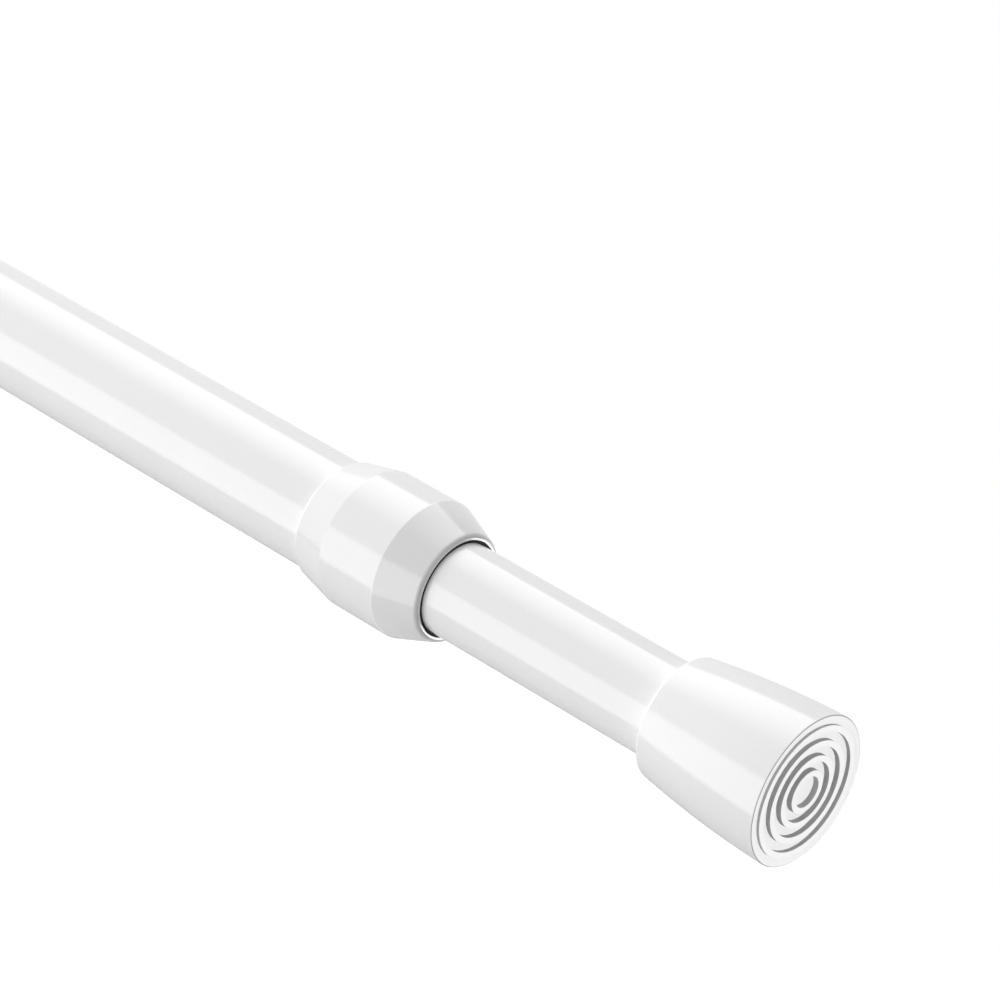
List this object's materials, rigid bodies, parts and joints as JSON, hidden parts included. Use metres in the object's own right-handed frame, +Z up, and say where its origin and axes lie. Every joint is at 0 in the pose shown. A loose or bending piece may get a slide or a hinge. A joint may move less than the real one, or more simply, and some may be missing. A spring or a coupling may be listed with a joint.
{
  "type": "spring tension rod",
  "caption": "Telescoping rod of sliding tubes with a collar, rubber feet, an inner push spring and a twist lock, which holds itself between facing walls.",
  "frame": {"origin": "centre of the fixed foot's contact face, where the rod meets the wall", "axes": "+X along the rod towards the sliding foot, +Z up, rod level as in use"},
  "size_m": [0.442, 0.0236, 0.0236],
  "materials": {
    "white_enamel": "gloss white paint on thin steel tube",
    "white_plastic": "gloss moulded plastic",
    "white_rubber": "smooth moulded rubber",
    "natural_nylon": "unpainted moulded nylon",
    "zinc_steel": "bright zinc plate"
  },
  "bodies": {
    "outer": {"outer_tube": "white_enamel", "collar": "white_plastic", "fixed_foot": "white_rubber"},
    "lock_ring": {"lock_ring": "natural_nylon"},
    "plunger": {"plunger": "zinc_steel", "lock_cam": "natural_nylon", "lock_screw": "zinc_steel", "compression_spring": "zinc_steel"},
    "inner": {"inner_tube": "white_enamel", "guide_plug": "natural_nylon", "spring_stop": "natural_nylon", "sliding_foot": "white_rubber"}
  },
  "joints": [
    {"name": "length_adjust", "type": "slide", "parent": "outer", "child": "lock_ring", "axis": [1, 0, 0], "range_m": [-0.016, 0.269]},
    {"name": "twist_lock", "type": "hinge", "parent": "lock_ring", "child": "plunger", "pos_m": [0.0376, 0, 0], "axis": [1, 0, 0], "range_deg": [-25, 25]},
    {"name": "spring_stroke", "type": "slide", "parent": "plunger", "child": "inner", "axis": [1, 0, 0], "range_m": [-0.02, 0], "stiffness_N_per_m": 4900, "springref_m": 0.005, "deforming": ["compression_spring"]}
  ]
}
